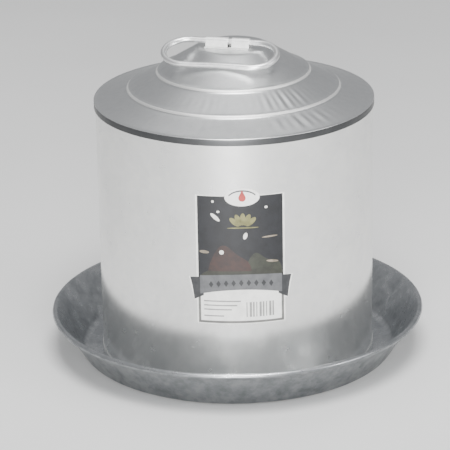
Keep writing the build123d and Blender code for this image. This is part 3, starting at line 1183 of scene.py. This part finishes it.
    def _tails(self) -> bmesh.types.BMesh:
        """The ribbon's folded ends, past both sides of the label."""
        mesh = bmesh.new()
        for side in (-1, 1):
            corners = [(31, 90.5), (31, 106.5), (42.4, 105.7), (40.6, 98), (39.0, 86.4)]
            self._area([(side * x, z) for x, z in corners], mesh)
        return mesh

    def _ribbon(self) -> bmesh.types.BMesh:
        """The ribbon's arched middle."""
        steps = 16
        top = []
        foot = []
        for number in range(steps + 1):
            x = -34 + 68 * number / steps
            arch = 1 - (x / 34) ** 2
            top.append((x, 107.6 + 1.4 * arch))
            foot.append((x, 91.5 + 4.2 * arch))
        return self._area(top + foot[::-1])

    def _studs(self) -> bmesh.types.BMesh:
        """A plain row of lozenges along the ribbon."""
        mesh = bmesh.new()
        for number in range(-4, 5):
            x = 6.2 * number
            z = 101.6 - 0.0022 * x * x
            self._area([(x - 1.9, z), (x, z - 2.9), (x + 1.9, z), (x, z + 2.9)], mesh)
        return mesh

    def _arc(self) -> bmesh.types.BMesh:
        """A thin dark arch inside the badge."""
        steps = 12
        outer = []
        inner = []
        for number in range(steps + 1):
            turn = math.radians(28 + 124 * number / steps)
            outer.append((1.7 + 12.6 * math.cos(turn), 174.0 + 8.0 * math.sin(turn)))
            inner.append((1.7 + 12.0 * math.cos(turn), 173.6 + 7.2 * math.sin(turn)))
        return self._area(outer + inner[::-1])

    def _drop(self, x: float, z: float, radius: float) -> bmesh.types.BMesh:
        """A water drop, point up."""
        corners = [(x, z + 2.3 * radius)]
        for number in range(13):
            turn = math.radians(150 + 20 * number)
            corners.append((x + radius * math.cos(turn), z + radius * math.sin(turn)))
        return self._area(corners)


@dataclass
class OutletValve:
    """The valve at the back, which stays in its CAD shapes."""

    def build(self, finishes: Finishes) -> None:
        """Dress the valve's pieces."""
        for node in ("valve_seat", "valve_pin", "valve_lever"):
            dress(node, finishes.brass)
        for node in ("bracket_rivets", "spring_rivets"):
            dress(node, finishes.wire)
        dress("valve_bracket", finishes.pan)
        dress("valve_spring", finishes.spring)
        dress("valve_pad", finishes.rubber)


# ------------------------------------------------------------------ studio


@dataclass(frozen=True)
class Softbox:
    """A square area light that looks at the fount's middle."""

    name: str
    place: tuple[float, float, float]
    size: float
    power: float

    def build(self, target: Vector) -> None:
        """Hang the light."""
        data = bpy.data.lights.new(self.name, "AREA")
        data.size = self.size
        data.energy = self.power
        lamp = bpy.data.objects.new(self.name, data)
        lamp.location = self.place
        lamp.rotation_euler = (target - Vector(self.place)).to_track_quat("-Z", "Y").to_euler()
        bpy.context.scene.collection.objects.link(lamp)


@dataclass
class Studio:
    """Pale floor, soft lights and the camera."""

    distance: float = 2.187
    elevation: float = 20.43
    roll: float = -0.96
    aim: tuple[float, float, float] = (0.0, 0.0, 0.1053)
    turn_right: float = -0.2494
    turn_up: float = 0.0862
    focal_mm: float = 203.6
    sensor_mm: float = 36.0
    sky: str = "A6A7A9"
    sky_strength: float = 1.0
    floor_r: float = 6.0
    floor_drop_mm: float = 0.1      # keeps the floor's face apart from the pan's underside

    def build(self) -> None:
        """Set up everything round the fount."""
        self._floor()
        self._world()
        target = Vector(self.aim)
        for lamp in (
            Softbox("front softbox", (-0.1, -2.5, 0.42), 0.8, 85.0),
            Softbox("high softbox", (0.1, -0.8, 2.1), 1.0, 56.0),
            Softbox("top softbox", (0.0, 0.9, 2.3), 1.6, 6.0),
            Softbox("side softbox", (1.9, -0.8, 0.9), 1.0, 12.0),
        ):
            lamp.build(target)
        self._camera()

    def _floor(self) -> None:
        """A pale plain floor with a faint grain."""
        mesh = bmesh.new()
        bmesh.ops.create_circle(
            mesh, cap_ends=True, segments=96, radius=self.floor_r,
            matrix=Matrix.Translation((0, 0, -self.floor_drop_mm * MM)),
        )
        data = bpy.data.meshes.new("studio_floor")
        mesh.to_mesh(data)
        mesh.free()
        floor = bpy.data.objects.new("studio_floor", data)
        floor.data.materials.append(
            PrintedFilm("matt_floor", "EDEDEC", "E6E6E5", 0.8, patch_mm=900, grain_mm=4).material()
        )
        bpy.context.scene.collection.objects.link(floor)

    def _world(self) -> None:
        """Even grey surroundings."""
        world = bpy.data.worlds.new("studio")
        world.use_nodes = True
        background = world.node_tree.nodes["Background"]
        background.inputs["Color"].default_value = linear(self.sky)
        background.inputs["Strength"].default_value = self.sky_strength
        bpy.context.scene.world = world

    def _camera(self) -> None:
        """Stand the camera in front, a little above, with a slight roll."""
        rise = math.radians(self.elevation)
        back = Vector((0, -math.cos(rise), math.sin(rise)))
        right = Vector((1, 0, 0))
        up = right.cross(-back)
        roll = math.radians(self.roll)
        right, up = (
            right * math.cos(roll) + up * math.sin(roll),
            up * math.cos(roll) - right * math.sin(roll),
        )
        look = -back + right * math.radians(self.turn_right) + up * math.radians(self.turn_up)
        look.normalize()
        right = (right - look * right.dot(look)).normalized()
        up = right.cross(look)
        data = bpy.data.cameras.new("camera")
        data.lens = self.focal_mm
        data.sensor_width = self.sensor_mm
        camera = bpy.data.objects.new("camera", data)
        turn = Matrix((right, up, -look)).transposed().to_4x4()
        camera.matrix_world = Matrix.Translation(Vector(self.aim) + back * self.distance) @ turn
        bpy.context.scene.collection.objects.link(camera)
        bpy.context.scene.camera = camera


def main() -> None:
    """Build the sub-assemblies in order."""
    logging.basicConfig(level=logging.INFO, format="%(name)s: %(message)s")
    finishes = Finishes()
    strap = HingeStrap()
    for assembly in (
        DrinkingPan(), InnerTank(), OuterShell(), SteppedLid(), strap, WireHandle(strap),
        PrintedLabel(), OutletValve(),
    ):
        assembly.build(finishes)
    Studio().build()


if __name__ == "__main__":
    main()
